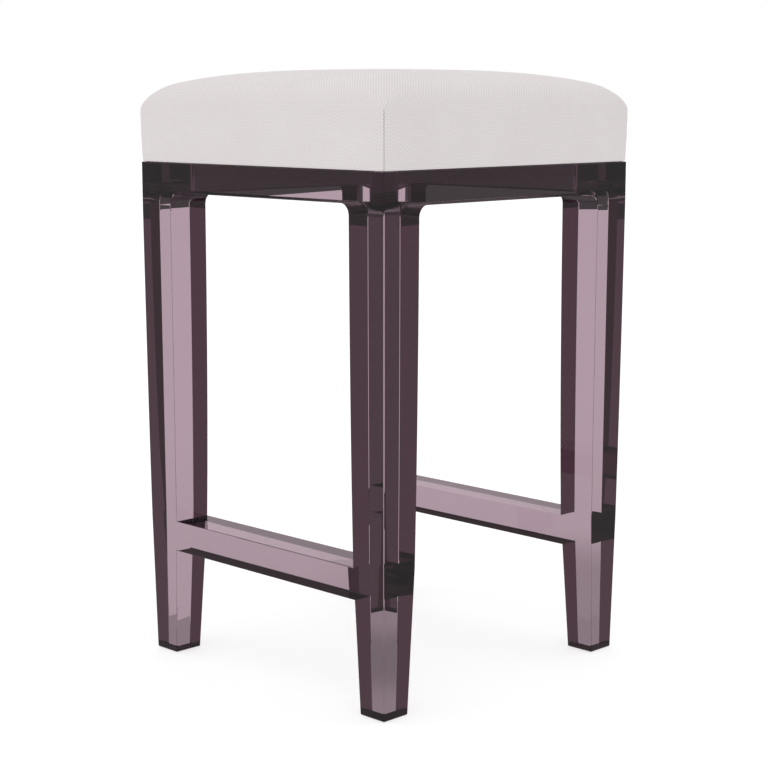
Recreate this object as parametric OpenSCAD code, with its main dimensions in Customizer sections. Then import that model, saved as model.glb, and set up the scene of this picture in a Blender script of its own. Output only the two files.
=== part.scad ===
// Square counter stool with a clear acrylic frame and an upholstered seat.
// Millimetres. The front faces -Y, +Z is up, and the origin is on the floor under the middle of the seat.

/* [Frame] */
// Side of the square that the frame fills in plan
frame_w = 381; // [340:1:460]
// Height of the frame's top edge above the floor
frame_h = 558.7; // [460:0.1:660]
// Side of a leg's square section beside the aprons
leg_top_w = 50; // [40:0.5:60]
// How much narrower a leg is at the top of the stretchers than beside the aprons
knee_taper = 5.05; // [0:0.05:12]
// How much narrower a leg is at the foot than beside the aprons
foot_taper = 15.5; // [4:0.1:24]
// How far a leg's outer faces stand in from the frame's edge at the top of the stretchers
knee_inset = 2.65; // [0:0.1:6]
// How far a leg's outer faces stand in from the frame's edge at the foot
foot_inset = 5.5; // [0:0.1:12]
// Height of the front and back aprons
front_apron_h = 32.7; // [26:0.1:50]
// Height of the two side aprons
side_apron_h = 34.7; // [26:0.1:50]
// Radius of the coves where the aprons meet the legs
cove_r = 12; // [6:0.5:20]
// Radius of the upright corners inside the apron ring
ring_corner_r = 11.5; // [5:0.5:20]
// Height of the stretchers' top faces above the floor
stretcher_top = 156.2; // [120:0.1:220]
// Height of a stretcher from its bottom to its top face
stretcher_h = 34.4; // [24:0.1:45]

/* [Feet] */
// Diameter of the felt pad under each foot
pad_d = 24; // [14:1:28]
// Thickness of the felt pads
pad_t = 1; // [0.8:0.1:3]

/* [Cushion] */
// Height of the crown's middle above the frame's top edge
cushion_h = 99.6; // [80:0.1:130]
// How far the cushion's sides bulge past the frame's edge
bulge = 1.8; // [0:0.1:5]
// Height of the fullest line of the sides above the frame's top edge
bulge_z = 47; // [35:1:52]
// Radius of the shoulder between the sides and the crown
shoulder_r = 28; // [20:0.5:34]
// How far the crown rises from the shoulder to the middle
crown_rise = 14.5; // [5:0.5:24]
// Radius of the cushion's upright corners
corner_r = 3; // [2:0.5:12]
// Thickness of the seat fabric with its backing
fabric_t = 1.6; // [1.2:0.1:3]
// Thickness of the wadding between the foam and the fabric
wadding_t = 9; // [5:0.5:14]

/* [Seat base] */
// Thickness of the plywood seat board
board_t = 12; // [9:0.5:18]
// How far the board's edges stand in from the frame's edge
board_inset = 2.5; // [2:0.5:6]
// Thickness of the black dust cover under the seat
dust_cover_t = 1; // [0.8:0.1:2]
// How far the dust cover's edges stand in from the frame's edge
dust_cover_inset = 3; // [2:0.5:8]
// How far the turned fabric under the board reaches past the aprons' inner faces
turn_reach = 6; // [3:0.5:14]
// Thickness of the locating board that drops inside the apron ring
locator_t = 14.5; // [9:0.5:22]
// Clearance between the locating board and the aprons
locator_gap = 0.5; // [0.3:0.1:2]
// Distance of the locating screws from the middle lines of the stool
screw_place = 95; // [60:1:105]
// Distance of the staples from the inner edge of the turned fabric
staple_edge = 6.3; // [3:0.1:12]

/* [Fasteners] */
// Diameter of the locating screws' shanks
screw_d = 4; // [3:0.5:5]
// Length of the locating screws under the head
screw_l = 22; // [18:1:24]
// Diameter of the locating screws' flat heads
screw_head_d = 8; // [7:0.5:10]
// Height of the locating screws' flat heads
screw_head_h = 2.4; // [2:0.1:3]
// Length of the point of the locating screws
screw_point_l = 4; // [3:0.5:6]
// Width of the slots of the cross recess in the screw heads
recess_w = 0.8; // [0.6:0.1:1.2]
// Length of the slots of the cross recess
recess_l = 4; // [3:0.1:5]
// Depth of the cross recess
recess_deep = 1.2; // [0.8:0.1:1.6]
// Width of a staple's crown
staple_w = 10; // [8:0.5:12]
// Thickness of a staple's wire
staple_wire = 0.7; // [0.5:0.1:1]
// Length of a staple's prongs
staple_l = 8; // [7:0.5:9]
// Staples along each side of the seat
staples_a_side = 6; // [4:1:12]

/* [Hidden] */

// Heights of the frame
half = frame_w / 2;
cove_bottom = frame_h - max(front_apron_h, side_apron_h) - cove_r;
stretcher_bottom = stretcher_top - stretcher_h;
// Sides of a leg's square section at the top of the stretchers and at the foot
leg_knee_w = leg_top_w - knee_taper;
leg_foot_w = leg_top_w - foot_taper;
// Half of the opening between two legs, beside the aprons
ring_half = half - leg_top_w;
// Length that carries a cut past the faces that it opens
overrun = 2;
// Room round wood screws and staple prongs in their holes
hole_room = 0.1;

// Above the stretchers a leg's faces bend to upright in a shallow curve, which ends under the coves.
// The shares place the curve's middle control point.
bend_steps = 12;
inner_bend_z_share = 0.405;
outer_bend_z_share = 0.405;
outer_bend_inset_share = 0.4;

// Layers of the seat, from the frame's top edge up
dust_cover_top = frame_h + dust_cover_t;
board_bottom = dust_cover_top + fabric_t;
board_top = board_bottom + board_t;
// Clearance between the soft layers, and between them and the board
soft_gap = 0.3;
wadding_depth = fabric_t + soft_gap;
foam_depth = wadding_depth + wadding_t + soft_gap;

// Shape of the cushion: upright sides with a slight bulge, a round shoulder and a domed crown
crown_top = frame_h + cushion_h;
fullest_z = frame_h + bulge_z;
shoulder_half = half + bulge - shoulder_r;
crown_power = 3.5;
crown_slope = crown_rise * crown_power;
crown_angle_guess = atan(crown_slope / shoulder_half);
crown_angle = atan(crown_slope / (shoulder_half + shoulder_r * sin(crown_angle_guess)));
crown_half = shoulder_half + shoulder_r * sin(crown_angle);
shoulder_z = crown_top - crown_rise - shoulder_r * cos(crown_angle);
shoulder_sweep = 90 - crown_angle;
// The crown's outline turns from a square with round corners into a circle towards the middle
crown_corner_share = 0.18;
crown_corner_r = crown_corner_share * crown_half;
least_corner_r = 0.4;
side_rings = 3;
shoulder_rings = 5;
crown_rings = 5;
corner_steps = 4;
side_steps = 3;

// Fabric turned under the board, and the staples through it
turn_under_w = leg_top_w + turn_reach;
staple_row = turn_under_w - staple_edge;
staple_span = 2 * (half - turn_under_w);

// Point of a curve from a to b that is drawn towards c, at the share t of its way
function bend(a, c, b, t) = (1 - t) * (1 - t) * a + 2 * (1 - t) * t * c + t * t * b;

// Outline of a leg seen from one side: x counts inward from the frame's edge, y is the height
function leg_outline() = [
  [foot_inset, pad_t],
  for (i = [0:bend_steps])
    let (t = i / bend_steps)
    [
      bend(knee_inset, outer_bend_inset_share * knee_inset, 0, t),
      bend(stretcher_top, stretcher_top + outer_bend_z_share * (cove_bottom - stretcher_top), cove_bottom, t)
    ],
  [0, frame_h],
  [leg_top_w, frame_h],
  for (i = [bend_steps:-1:0])
    let (t = i / bend_steps)
    [
      bend(knee_inset + leg_knee_w, leg_top_w, leg_top_w, t),
      bend(stretcher_top, stretcher_top + inner_bend_z_share * (cove_bottom - stretcher_top), cove_bottom, t)
    ],
  [foot_inset + leg_foot_w, pad_t]
];

// The leg outline, upright, swept along X; it lies along the frame's front edge
module front_sweep() {
  translate([-half, -half, 0])
    rotate([90, 0, 90])
      linear_extrude(frame_w) polygon(leg_outline());
}

// The leg outline, upright, swept along Y; it lies along the frame's left edge
module left_sweep() {
  translate([-half, half, 0])
    rotate([90, 0, 0])
      linear_extrude(frame_w) polygon(leg_outline());
}

// One leg, at the front left corner, with the taper on all four faces
module leg() {
  intersection() {
    front_sweep();
    left_sweep();
    translate([-half, -half, 0]) cube([2 * leg_top_w, 2 * leg_top_w, frame_h]);
  }
}

// Outline of an apron of height h with its two coves, seen from the front
module apron_outline(h) {
  cove_z = frame_h - h - cove_r;
  difference() {
    translate([-ring_half, cove_z]) square([2 * ring_half, h + cove_r]);
    translate([-ring_half + cove_r, cove_z - overrun]) square([2 * (ring_half - cove_r), cove_r + overrun]);
    for (side = [-1, 1]) translate([side * (ring_half - cove_r), cove_z]) circle(r = cove_r, $fn = 96);
  }
}

// One apron of height h, along the frame's front edge
module apron(h) {
  translate([0, -ring_half, 0])
    rotate([90, 0, 0])
      linear_extrude(leg_top_w) apron_outline(h);
}

// Upright round corner that fills the angle between two aprons, at the front left
module ring_corner() {
  difference() {
    translate([-ring_half, -ring_half, frame_h - front_apron_h]) cube([ring_corner_r, ring_corner_r, front_apron_h]);
    translate([ring_corner_r - ring_half, ring_corner_r - ring_half, frame_h - front_apron_h - overrun])
      cylinder(r = ring_corner_r, h = front_apron_h + 2 * overrun, $fn = 96);
  }
}

// Front apron with the ring's two front corners; the side aprons butt against them
module cornered_apron() {
  union() {
    apron(front_apron_h);
    ring_corner();
    mirror([1, 0, 0]) ring_corner();
  }
}

// How far a leg's inner faces stand in from the frame's edge, at a height below the stretchers' tops
function lower_inner(z) =
  let (share = (z - pad_t) / (stretcher_top - pad_t))
  (foot_inset + leg_foot_w) * (1 - share) + (knee_inset + leg_knee_w) * share;

// One stretcher, along the frame's front edge: its faces follow the legs' faces and its ends fit between the legs
module stretcher() {
  low_end = half - lower_inner(stretcher_bottom);
  high_end = half - lower_inner(stretcher_top);
  intersection() {
    front_sweep();
    rotate([90, 0, 0])
      linear_extrude(frame_w)
        polygon([
          [-low_end, stretcher_bottom], [low_end, stretcher_bottom],
          [high_end, stretcher_top], [-high_end, stretcher_top]
        ]);
  }
}

// Square with round corners, centred, as far from the middle as half_w
module round_square(half_w, r) {
  square([2 * half_w, 2 * (half_w - r)], center = true);
  square([2 * (half_w - r), 2 * half_w], center = true);
  for (x = [-1, 1], y = [-1, 1]) translate([x * (half_w - r), y * (half_w - r)]) circle(r = r, $fn = 96);
}

// Rings of the cushion's surface at a depth under the fabric, each [half width, height, corner radius]
function cushion_rings(depth, bottom) = [
  for (i = [0:side_rings])
    let (z = bottom + (fullest_z - bottom) * i / side_rings)
    let (fall = (fullest_z - z) / (fullest_z - dust_cover_top))
    [half + bulge * (1 - fall * fall) - depth, z, corner_r - depth],
  for (i = [0:shoulder_rings])
    let (turn = shoulder_sweep * i / shoulder_rings)
    let (widen = (1 - cos(turn)) / (1 - cos(shoulder_sweep)))
    [
      shoulder_half + (shoulder_r - depth) * cos(turn),
      shoulder_z + (shoulder_r - depth) * sin(turn),
      corner_r + (crown_corner_r - corner_r) * widen - depth * cos(turn)
    ],
  for (i = [crown_rings - 1:-1:1])
    let (share = i / crown_rings)
    let (h = crown_half * share)
    let (slope = atan(crown_slope / crown_half * pow(share, crown_power - 1)))
    [
      h - depth * sin(slope),
      crown_top - crown_rise * pow(share, crown_power) - depth * cos(slope),
      h * (1 - (1 - crown_corner_share) * sqrt(share))
    ]
];

// Points of one ring, anticlockwise from the right-hand side
function ring_points(half_w, z, r) = [
  for (q = [0:3])
    each [
      for (i = [0:corner_steps])
        let (a = 90 * (q + i / corner_steps))
        let (mid = (half_w - r) * sqrt(2))
        [mid * cos(90 * q + 45) + r * cos(a), mid * sin(90 * q + 45) + r * sin(a), z],
      for (i = [1:side_steps - 1])
        let (a = 90 * (q + 1))
        let (along = (half_w - r) * (2 * i / side_steps - 1))
        [half_w * cos(a) - along * sin(a), half_w * sin(a) + along * cos(a), z]
    ]
];

// Solid under the cushion's surface, from a flat bottom up, at a depth under the fabric
module cushion_form(depth, bottom) {
  rings = cushion_rings(depth, bottom);
  n = 4 * (corner_steps + side_steps);
  count = len(rings);
  points = [
    for (ring = rings) each ring_points(ring[0], ring[1], max(ring[2], least_corner_r)),
    [0, 0, crown_top - depth],
    [0, 0, bottom]
  ];
  top_point = n * count;
  faces = [
    for (k = [0:count - 2], i = [0:n - 1])
      let (a = k * n + i, b = k * n + (i + 1) % n)
      each [[a, a + n, b], [b, a + n, b + n]],
    for (i = [0:n - 1]) [n * (count - 1) + i, top_point, n * (count - 1) + (i + 1) % n],
    for (i = [0:n - 1]) [i, (i + 1) % n, top_point + 1]
  ];
  polyhedron(points, faces);
}

// One staple, crown down: its crown lies along X under the turned fabric and its prongs point up
module staple(room = 0) {
  wire = staple_wire + 2 * room;
  translate([-staple_w / 2 - room, -wire / 2, board_bottom - fabric_t - wire + room])
    cube([staple_w + 2 * room, wire, wire]);
  for (side = [-1, 1])
    translate([side * (staple_w - staple_wire) / 2, 0, 0])
      translate([-wire / 2, -wire / 2, board_bottom - fabric_t - wire + room])
        cube([wire, wire, wire + staple_l + room]);
}

// The staples of all four sides, grown by room to cut the holes that they sit in
module staple_rows(room = 0) {
  for (turn = [0:90:270], i = [0:staples_a_side - 1])
    rotate([0, 0, turn])
      translate([staple_span * (i / (staples_a_side - 1) - 1 / 2), -half + staple_row, 0])
        staple(room);
}

// One countersunk wood screw, head down, with a cross recess
module screw() {
  top = frame_h - locator_t;
  difference() {
    union() {
      translate([0, 0, top]) cylinder(d1 = screw_head_d, d2 = screw_d, h = screw_head_h, $fn = 32);
      translate([0, 0, top]) cylinder(d = screw_d, h = screw_l - screw_point_l, $fn = 32);
      translate([0, 0, top + screw_l - screw_point_l])
        cylinder(d1 = screw_d, d2 = 0, h = screw_point_l, $fn = 32);
    }
    for (turn = [0, 90])
      rotate([0, 0, turn])
        translate([-recess_l / 2, -recess_w / 2, top - overrun])
          cube([recess_l, recess_w, overrun + recess_deep]);
  }
}

// Cut for one screw: countersink, and a plain hole past the screw's point
module screw_hole() {
  top = frame_h - locator_t;
  translate([0, 0, top])
    cylinder(d1 = screw_head_d + 2 * hole_room, d2 = screw_d + 2 * hole_room, h = screw_head_h, $fn = 32);
  translate([0, 0, top - overrun])
    cylinder(d = screw_head_d + 2 * hole_room, h = overrun, $fn = 32);
  translate([0, 0, top - overrun])
    cylinder(d = screw_d + 2 * hole_room, h = screw_l + overrun + hole_room, $fn = 32);
}

// Puts a child at each of the four screw places
module at_screws() {
  for (x = [-1, 1], y = [-1, 1]) translate([x * screw_place, y * screw_place, 0]) children();
}

acrylic = [0.55, 0.42, 0.50, 0.6];

module front_left_leg() { color(acrylic) leg(); }
module front_right_leg() { color(acrylic) mirror([1, 0, 0]) leg(); }
module back_left_leg() { color(acrylic) mirror([0, 1, 0]) leg(); }
module back_right_leg() { color(acrylic) mirror([1, 0, 0]) mirror([0, 1, 0]) leg(); }

module front_apron() { color(acrylic) cornered_apron(); }
module back_apron() { color(acrylic) mirror([0, 1, 0]) cornered_apron(); }
module left_apron() { color(acrylic) rotate([0, 0, -90]) apron(side_apron_h); }
module right_apron() { color(acrylic) rotate([0, 0, 90]) apron(side_apron_h); }

module front_stretcher() { color(acrylic) stretcher(); }
module back_stretcher() { color(acrylic) mirror([0, 1, 0]) stretcher(); }

// Round felt pads stuck under the four feet
module felt_pads() {
  place = half - foot_inset - leg_foot_w / 2;
  color([0.30, 0.28, 0.27])
    for (x = [-1, 1], y = [-1, 1]) translate([x * place, y * place, 0]) cylinder(d = pad_d, h = pad_t, $fn = 48);
}

// Fabric cover: a skin over the wadding, turned under the board on all sides
module seat_fabric() {
  color([0.86, 0.85, 0.83])
    difference() {
      cushion_form(0, dust_cover_top);
      cushion_form(fabric_t, board_bottom);
      translate([0, 0, dust_cover_top])
        cube([2 * (half - turn_under_w), 2 * (half - turn_under_w), 2 * (fabric_t + overrun)], center = true);
      staple_rows(hole_room);
    }
}

// Wadding between the foam and the fabric
module seat_wadding() {
  color([0.95, 0.95, 0.94])
    difference() {
      cushion_form(wadding_depth, board_top + soft_gap);
      cushion_form(foam_depth - soft_gap, board_top - overrun);
    }
}

module seat_foam() { color([0.93, 0.86, 0.62]) cushion_form(foam_depth, board_top + soft_gap); }

// Plywood board that carries the foam
module seat_board() {
  color([0.80, 0.66, 0.46])
    difference() {
      translate([0, 0, board_bottom]) linear_extrude(board_t) round_square(half - board_inset, corner_r);
      at_screws() screw_hole();
      staple_rows(hole_room);
    }
}

// Black cloth that closes the seat's underside
module dust_cover() {
  color([0.08, 0.08, 0.08])
    difference() {
      translate([0, 0, frame_h]) linear_extrude(dust_cover_t) round_square(half - dust_cover_inset, corner_r);
      at_screws() screw_hole();
      staple_rows(hole_room);
    }
}

// Grey board that drops inside the apron ring and keeps the seat in its place
module locating_board() {
  color([0.12, 0.11, 0.11])
    difference() {
      translate([0, 0, frame_h - locator_t])
        linear_extrude(locator_t) round_square(ring_half - locator_gap, ring_corner_r - locator_gap);
      at_screws() screw_hole();
    }
}

module locating_screws() { color([0.6, 0.6, 0.6]) at_screws() screw(); }

module staples() { color([0.7, 0.7, 0.7]) staple_rows(); }

front_left_leg();
front_right_leg();
back_left_leg();
back_right_leg();
front_apron();
back_apron();
left_apron();
right_apron();
front_stretcher();
back_stretcher();
felt_pads();
seat_fabric();
seat_wadding();
seat_foam();
seat_board();
dust_cover();
locating_board();
locating_screws();
staples();
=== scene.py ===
# %% [markdown]
# A square counter stool: a frame of clear, faintly rose-grey acrylic with an upholstered seat on it. The
# imported CAD model is the fixed frame that everything here is built round. It gives each piece's place
# and size in metres, with the floor at height zero and the stool's front facing -Y. This first cell
# loads it.

import math

import bmesh
import bpy
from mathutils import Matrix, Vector
from mathutils.bvhtree import BVHTree


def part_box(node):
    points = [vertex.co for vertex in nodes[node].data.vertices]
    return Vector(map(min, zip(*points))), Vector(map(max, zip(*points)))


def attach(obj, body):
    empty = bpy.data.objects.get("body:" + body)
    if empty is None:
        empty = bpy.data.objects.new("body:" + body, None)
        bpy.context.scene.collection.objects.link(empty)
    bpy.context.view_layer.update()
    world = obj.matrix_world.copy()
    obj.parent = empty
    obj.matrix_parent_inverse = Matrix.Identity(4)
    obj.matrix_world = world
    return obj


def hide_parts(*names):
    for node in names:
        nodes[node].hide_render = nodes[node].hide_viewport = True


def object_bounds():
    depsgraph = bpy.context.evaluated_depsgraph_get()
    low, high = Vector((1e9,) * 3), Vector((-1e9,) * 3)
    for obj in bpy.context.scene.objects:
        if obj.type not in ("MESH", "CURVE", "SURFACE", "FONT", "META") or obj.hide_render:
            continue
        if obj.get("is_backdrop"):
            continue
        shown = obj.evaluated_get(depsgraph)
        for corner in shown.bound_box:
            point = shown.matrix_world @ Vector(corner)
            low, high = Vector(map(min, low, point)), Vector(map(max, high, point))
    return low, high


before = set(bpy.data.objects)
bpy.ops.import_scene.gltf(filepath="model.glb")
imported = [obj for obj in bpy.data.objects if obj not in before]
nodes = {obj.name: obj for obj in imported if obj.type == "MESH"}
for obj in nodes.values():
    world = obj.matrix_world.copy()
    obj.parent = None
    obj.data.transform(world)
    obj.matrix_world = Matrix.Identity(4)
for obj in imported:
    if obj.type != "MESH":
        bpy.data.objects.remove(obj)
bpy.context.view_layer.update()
scene = bpy.context.scene
scene.view_settings.view_transform = "Standard"
MM = 0.001

# %% [markdown]
# Colours are written as the sRGB hex values that a paint chart or an eyedropper gives, and Cycles works
# in linear light, so one function turns the one into the other. Materials are node trees. A single
# helper adds any node with its settings and its links, which keeps a tree readable as a list: what the
# node is, what it is set to, and what feeds it. A Mix node takes two numbers at its inputs 2 and 3, and
# two colours at 6 and 7. The scale of a pattern is one over its size on the real thing.

# %% Helpers for colours, nodes and materials
def linear(hex_colour):
    """The linear colour of an sRGB hex value."""
    parts = [int(hex_colour[i:i + 2], 16) / 255 for i in (1, 3, 5)]
    return (*(c / 12.92 if c <= 0.04045 else ((c + 0.055) / 1.055) ** 2.4 for c in parts), 1.0)


def in_use(value):
    """The output that a node has in use, or the value itself where it is no node."""
    if isinstance(value, bpy.types.Node):
        return next(output for output in value.outputs if output.enabled)
    return value


def add(tree, kind, inputs=None, **settings):
    """Adds a node of a kind such as TexNoise or Math, with its settings and what feeds each input."""
    node = tree.nodes.new("ShaderNode" + kind)
    for name, value in settings.items():
        setattr(node, name, value)
    for key, value in (inputs or {}).items():
        value = in_use(value)
        if isinstance(value, bpy.types.NodeSocket):
            tree.links.new(value, node.inputs[key])
        else:
            node.inputs[key].default_value = value
    return node


def new_material(name, **shader):
    """A material with one Principled shader. Its constant sockets are given by name with _ for a space."""
    made = bpy.data.materials.new(name)
    made.use_nodes = True
    principled = made.node_tree.nodes["Principled BSDF"]
    for key, value in shader.items():
        principled.inputs[key.replace("_", " ")].default_value = value
    return made, made.node_tree, principled


def feed(tree, shader, **nodes_by_socket):
    """Links nodes to the shader's sockets, which are given by name with _ for a space."""
    for key, node in nodes_by_socket.items():
        tree.links.new(in_use(node), shader.inputs[key.replace("_", " ")])


def dress(piece, made):
    """Gives a piece its material."""
    piece.data.materials.clear()
    piece.data.materials.append(made)


print("white in linear light:", linear("#FFFFFF"))

# %% [markdown]
# New shapes are built point by point in a bmesh, which is Blender's workbench for meshes, and then
# become an object. These steps are the same each time, so they are two short functions.

# %% Helpers for new pieces
def to_mesh(bm, name):
    """Turns what was built in a bmesh into a mesh of that name."""
    mesh = bpy.data.meshes.new(name)
    bm.to_mesh(mesh)
    bm.free()
    return mesh


def new_object(name, data):
    """Puts a mesh or a camera into the scene."""
    made = bpy.data.objects.new(name, data)
    scene.collection.objects.link(made)
    return made


print("CAD nodes to dress or replace:", len(nodes))

# %% [markdown]
# The photograph looks at the stool's nearest corner from slightly above. The camera's place and lens
# come from matching the feet, the stretchers and the cushion's edges: a lens of about 86 mm, two metres
# away, nine degrees down.

# %% Camera
LENS = 85.82
SENSOR = 36
AWAY = 2.0477
EYE_LEVEL = 0.635
TOWARDS_CORNER = math.radians(45)
DOWNWARDS = math.radians(9.065)

lens = bpy.data.cameras.new("camera")
lens.lens = LENS
lens.sensor_width = SENSOR
camera = new_object("camera", lens)
camera.location = (AWAY * math.sin(TOWARDS_CORNER), -AWAY * math.cos(TOWARDS_CORNER), EYE_LEVEL)
camera.rotation_euler = (math.pi / 2 - DOWNWARDS, 0, TOWARDS_CORNER)
scene.camera = camera
print("camera stands", round(camera.location.length, 3), "m from the origin")

# %% [markdown]
# A clear frame shows its surroundings more than itself, so the studio is part of its look. On the set a
# lit white floor ends some eight to ten metres behind the stool, and the room past it is dark. A ray
# that goes straight through a leg meets the white floor and takes the plastic's tint, and one that is
# mirrored inside the plastic leaves towards the dim room. Light Path tells these rays apart: Glossy
# Depth counts the mirror bounces, and Transmission Depth the faces that a ray has gone through, two for
# each slab. The dark end of the room counts only inside a window behind the stool's hidden corner,
# where the photograph looks. Behind two slabs, white and dark have levels of their own, and each
# further mirror bounce takes some light away.

# %% What a ray finds round the stool
WHITE = 1.0
DARK = 0.09
BEHIND_TWO = 0.285
DARK_BEHIND_TWO = 0.147
WINDOW = 0.25
MIRROR_LOSS = 0.75
DIAGONAL = math.sqrt(0.5)


def behind_and_across(tree, vector):
    """How far a point or a direction lies behind the stool, seen from the camera's corner, and how far
    to the right of that line, and 1 where it lies in the window."""
    behind = add(tree, "VectorMath", {0: vector, 1: (-DIAGONAL, DIAGONAL, 0)}, operation="DOT_PRODUCT")
    across = add(tree, "VectorMath", {0: vector, 1: (DIAGONAL, DIAGONAL, 0)}, operation="DOT_PRODUCT")
    slant = add(tree, "Math", {0: across, 1: behind}, operation="DIVIDE")
    slant = add(tree, "Math", {0: slant}, operation="ABSOLUTE")
    narrow = add(tree, "Math", {0: slant, 1: WINDOW}, operation="LESS_THAN")
    ahead = add(tree, "Math", {0: behind, 1: 0}, operation="GREATER_THAN")
    return behind, across, add(tree, "Math", {0: narrow, 1: ahead}, operation="MULTIPLY")


def surroundings(tree, dark, white, dim, open_air, daylight):
    """Colour of the surroundings for a ray that the camera doesn't send: white or dark for a straight
    one, dim for a mirrored one, open air for one that only glances off a face, and daylight for one
    that lights cloth or wood. The counts are whole numbers, so each step lies half way between two."""
    path = add(tree, "LightPath")
    mirrors, faces = path.outputs["Glossy Depth"], path.outputs["Transmission Depth"]
    one = add(tree, "Mix", {0: dark, 2: white, 3: DARK})
    two = add(tree, "Mix", {0: dark, 2: BEHIND_TWO, 3: DARK_BEHIND_TWO})
    second = add(tree, "Math", {0: faces, 1: 2.5}, operation="GREATER_THAN")
    straight = add(tree, "Mix", {0: second, 2: one, 3: two})
    further = add(tree, "Math", {0: mirrors, 1: 1}, operation="SUBTRACT")
    loss = add(tree, "Math", {0: MIRROR_LOSS, 1: further}, operation="POWER")
    mirrored = add(tree, "VectorMath", {0: dim, "Scale": loss}, operation="SCALE")
    turned = add(tree, "Math", {0: mirrors, 1: 0.5}, operation="GREATER_THAN")
    inside = add(tree, "Mix", {0: turned, 6: straight, 7: mirrored}, data_type="RGBA")
    entered = add(tree, "Math", {0: faces, 1: 0.5}, operation="GREATER_THAN")
    seen = add(tree, "Mix", {0: entered, 6: open_air, 7: inside}, data_type="RGBA")
    clear = add(tree, "Math", {0: path.outputs["Is Glossy Ray"], 1: path.outputs["Is Transmission Ray"]},
                operation="MAXIMUM")
    first = add(tree, "Math", {0: path.outputs["Diffuse Depth"], 1: 0.5}, operation="LESS_THAN")
    clear = add(tree, "Math", {0: clear, 1: first}, operation="MULTIPLY")
    return path, add(tree, "Mix", {0: clear, 6: daylight, 7: seen}, data_type="RGBA")


print("the window is", round(2 * math.degrees(math.atan(WINDOW)), 1), "degrees wide")

# %% [markdown]
# The background that the camera sees is white. Cloth and wood are lit by a soft sky near a strength of
# one, at which a colour renders as it is written. It is a little stronger from above and from the front
# left, which parts the seat's faces. A lamp could do that too, but its mirror image would show in the
# clear plastic. What the plastic mirrors is a dim rose room, lighter near the horizon than higher up,
# and what only glances off its faces is a pale glint.

# %% World
DIM_ROOM = "#67525C"
DIM_AT_HORIZON = 0.45
DIM_ABOVE = 0.25
DIM_RISE = 0.4
GLINT = "#EEDBE4"
SKY_MIDDLE = 0.94
SKY_SLOPE = (-0.06, -0.06, 0.17)
BOUNCES = 24
MIRROR_BOUNCES = 16

world = bpy.data.worlds.new("studio")
scene.world = world
world.use_nodes = True
tree = world.node_tree
tree.nodes.clear()
direction = add(tree, "TexCoord").outputs["Generated"]
height = add(tree, "SeparateXYZ", {0: direction}).outputs["Z"]
window = behind_and_across(tree, direction)[2]
dimmer = add(tree, "MapRange", {"Value": height, "From Max": DIM_RISE,
                                "To Min": DIM_AT_HORIZON, "To Max": DIM_ABOVE})
dim = add(tree, "VectorMath", {0: linear(DIM_ROOM)[:3], "Scale": dimmer}, operation="SCALE")
slope = add(tree, "VectorMath", {0: direction, 1: SKY_SLOPE}, operation="DOT_PRODUCT")
daylight = add(tree, "Math", {0: slope, 1: SKY_MIDDLE}, operation="ADD")
path, level = surroundings(tree, window, WHITE, dim, linear(GLINT), daylight)
shown = add(tree, "Mix", {0: path.outputs["Is Camera Ray"], 6: level, 7: linear("#FFFFFF")},
            data_type="RGBA")
sky = add(tree, "Background", {"Color": shown, "Strength": 1.0})
add(tree, "OutputWorld", {"Surface": sky})
scene.cycles.max_bounces = BOUNCES
scene.cycles.transmission_bounces = BOUNCES
scene.cycles.glossy_bounces = MIRROR_BOUNCES
print("world:", len(tree.nodes), "nodes")

# %% [markdown]
# The floor is a plain pale sheet. Seen through the plastic it is shaded under the seat, most of all in
# the middle, nearly white further out, and a little greyer behind the stool where the seat's soft
# shadow falls. These levels could come from traced light, but hardly any finds its way through so much
# plastic, so they are worked out from the place on the floor. Distances are in metres.

# %% Floor seen through the plastic
FLOOR_SIZE = 60
UNDER_SEAT = 0.30
UNDER_MIDDLE = 0.05
UNDER_MIDDLE_LEVEL = 0.37
UNDER_EDGE = 0.19
UNDER_EDGE_LEVEL = 0.55
NEAR_LEVEL = 0.9
FAR_FLOOR = 1.5
SHADOW_PLACE = (0.0, 0.42, 0.0)
SHADOW_CORE = 0.12
SHADOW_REACH = 0.45
SHADOW_LEVEL = 0.68

bpy.ops.mesh.primitive_plane_add(size=FLOOR_SIZE)
floor = bpy.context.object
floor.name = "floor"
floor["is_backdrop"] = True
paper = bpy.data.materials.new("matt white studio paper")
paper.use_nodes = True
tree = paper.node_tree
tree.nodes.clear()
place = add(tree, "NewGeometry").outputs["Position"]
distance = add(tree, "VectorMath", {0: place}, operation="LENGTH")
lighter = add(tree, "MapRange", {"Value": distance, "From Min": UNDER_SEAT, "From Max": FAR_FLOOR,
                                 "To Min": NEAR_LEVEL, "To Max": WHITE})
aside = add(tree, "VectorMath", {0: place, 1: SHADOW_PLACE}, operation="DISTANCE")
shadow = add(tree, "MapRange", {"Value": aside, "From Min": SHADOW_CORE, "From Max": SHADOW_REACH,
                                "To Min": SHADOW_LEVEL}, interpolation_type="SMOOTHSTEP")
lighter = add(tree, "Math", {0: lighter, 1: shadow}, operation="MULTIPLY")
shaded = add(tree, "Math", {0: distance, 1: UNDER_SEAT}, operation="LESS_THAN")
shade = add(tree, "MapRange", {"Value": distance, "From Min": UNDER_MIDDLE, "From Max": UNDER_EDGE,
                               "To Min": UNDER_MIDDLE_LEVEL, "To Max": UNDER_EDGE_LEVEL},
            interpolation_type="SMOOTHSTEP")
white = add(tree, "Mix", {0: shaded, 2: lighter, 3: shade})
print("floor levels:", UNDER_MIDDLE_LEVEL, "in the middle to", WHITE, "at", FAR_FLOOR, "m")

# %% [markdown]
# The lit floor ends in a line across, and left of the stool in a slanting one. Mirrored in the plastic
# the floor is dim, and it is nearly black far out to the sides, where the set's flags stand. A flag is
# a black board that is put up beside a clear object, so that its edges turn dark and can be seen.

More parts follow.
